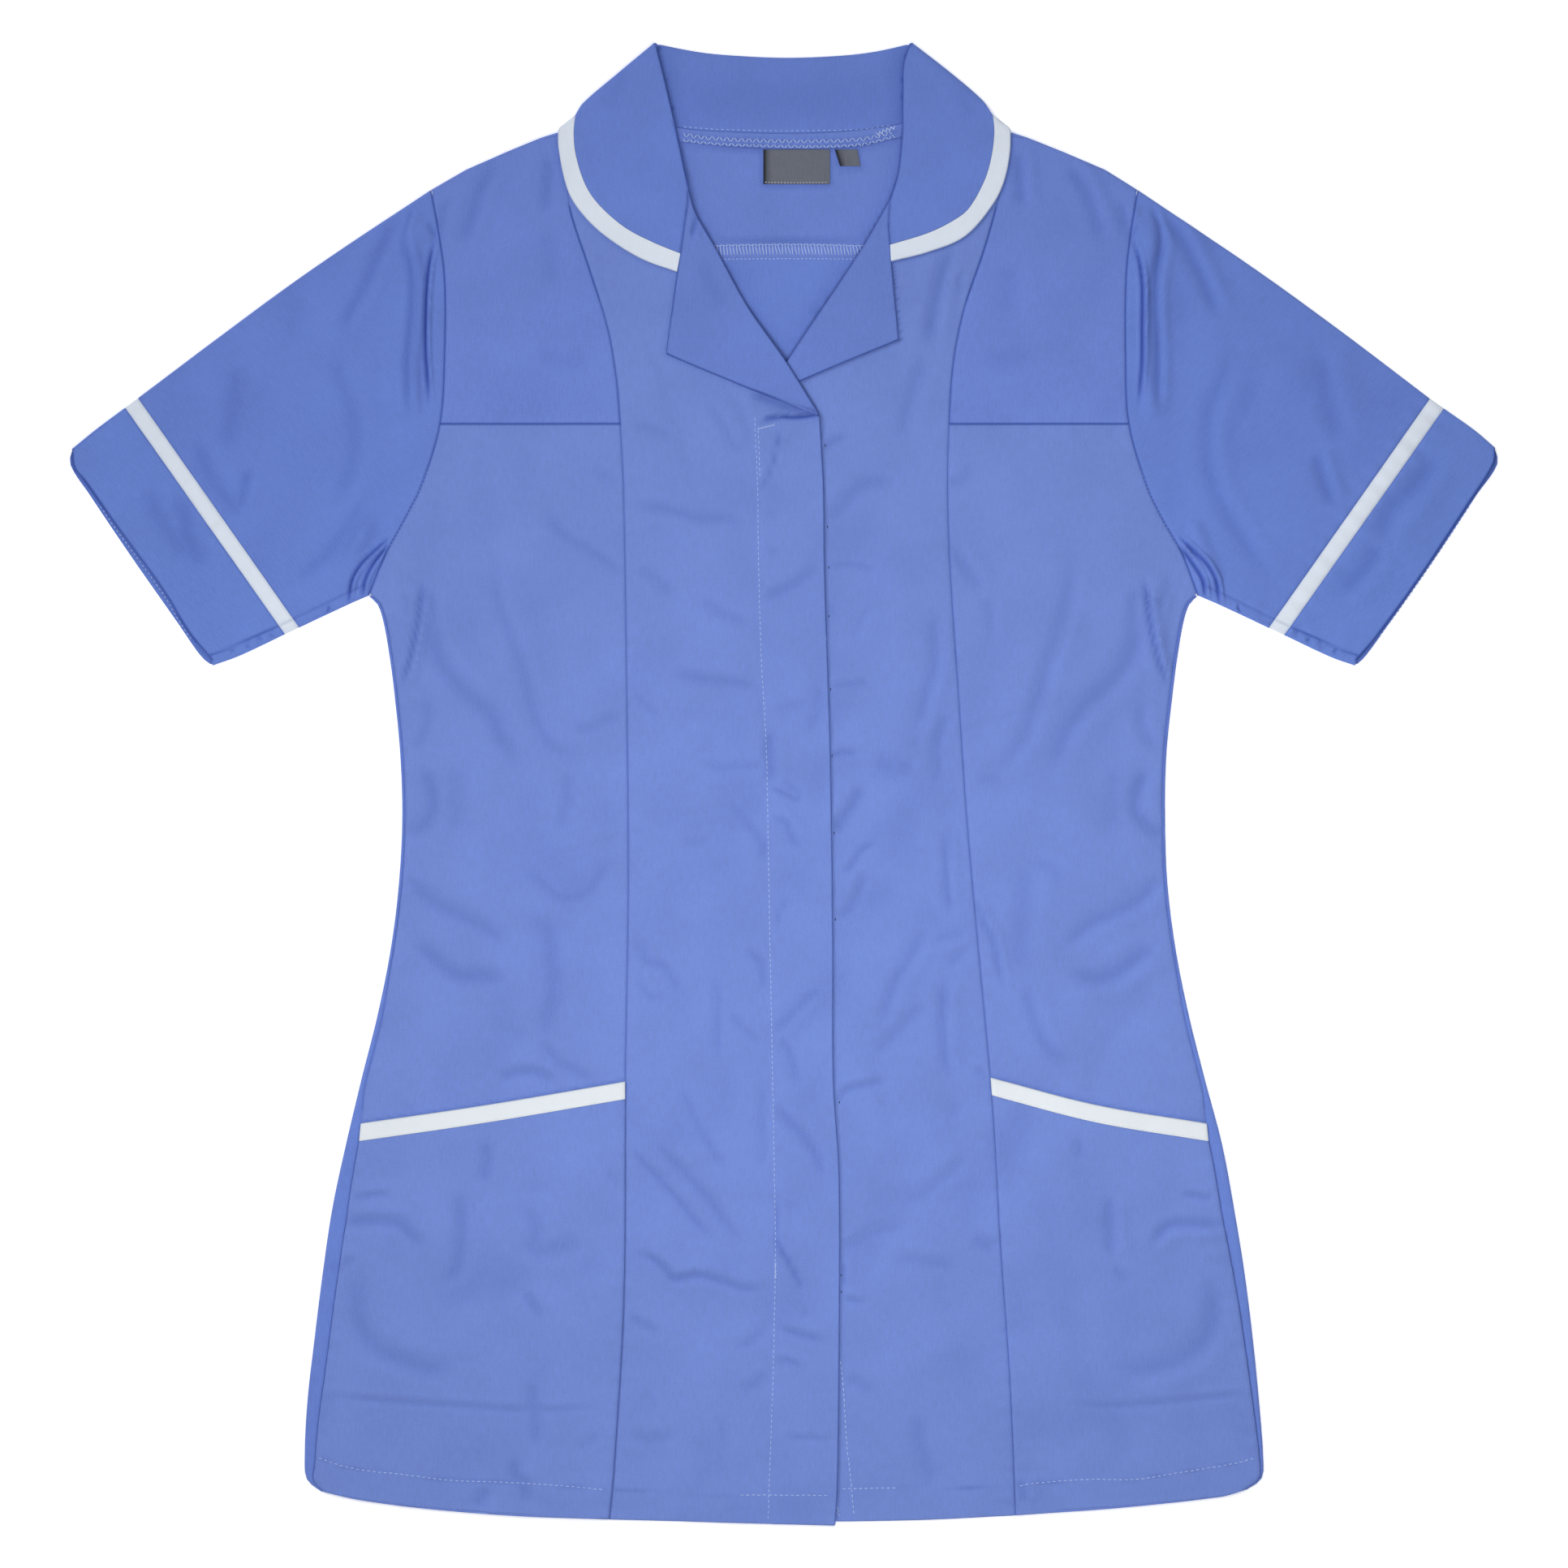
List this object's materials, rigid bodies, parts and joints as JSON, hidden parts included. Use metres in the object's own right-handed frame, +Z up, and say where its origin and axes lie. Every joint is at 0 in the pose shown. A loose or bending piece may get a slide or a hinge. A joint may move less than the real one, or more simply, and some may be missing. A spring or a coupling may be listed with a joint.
{
  "type": "short-sleeved work tunic laid flat",
  "caption": "Short-sleeved work tunic laid flat, with a wide edged collar and lapels, a fly front, curved panel seams, edged sleeves and hip pockets.",
  "frame": {"origin": "middle of the laid garment's bounding box, on the surface that it lies on", "axes": "+X to the right of the front as one looks down on it, +Y towards the neck, +Z up, out of the front"},
  "size_m": [0.7736, 0.8026, 0.0067],
  "materials": {
    "cloth_blue": "matte woven polycotton",
    "edging_white": "matte woven polycotton",
    "label_grey": "woven satin label"
  },
  "bodies": {
    "root": {"back_lower": "cloth_blue", "back_yoke": "cloth_blue", "collar": "cloth_blue", "collar_band": "edging_white", "cuff_l": "cloth_blue", "cuff_r": "cloth_blue", "front_l": "cloth_blue", "front_r": "cloth_blue", "label_main": "label_grey", "label_size": "label_grey", "lapel_l": "cloth_blue", "lapel_r": "cloth_blue", "neck_seam": "cloth_blue", "pocket_band_l": "edging_white", "pocket_band_r": "edging_white", "pocket_l": "cloth_blue", "pocket_r": "cloth_blue", "side_front_l": "cloth_blue", "side_front_r": "cloth_blue", "sleeve_band_l": "edging_white", "sleeve_band_r": "edging_white", "sleeve_l": "cloth_blue", "sleeve_r": "cloth_blue", "yoke_front_l": "cloth_blue", "yoke_front_r": "cloth_blue"}
  },
  "joints": []
}
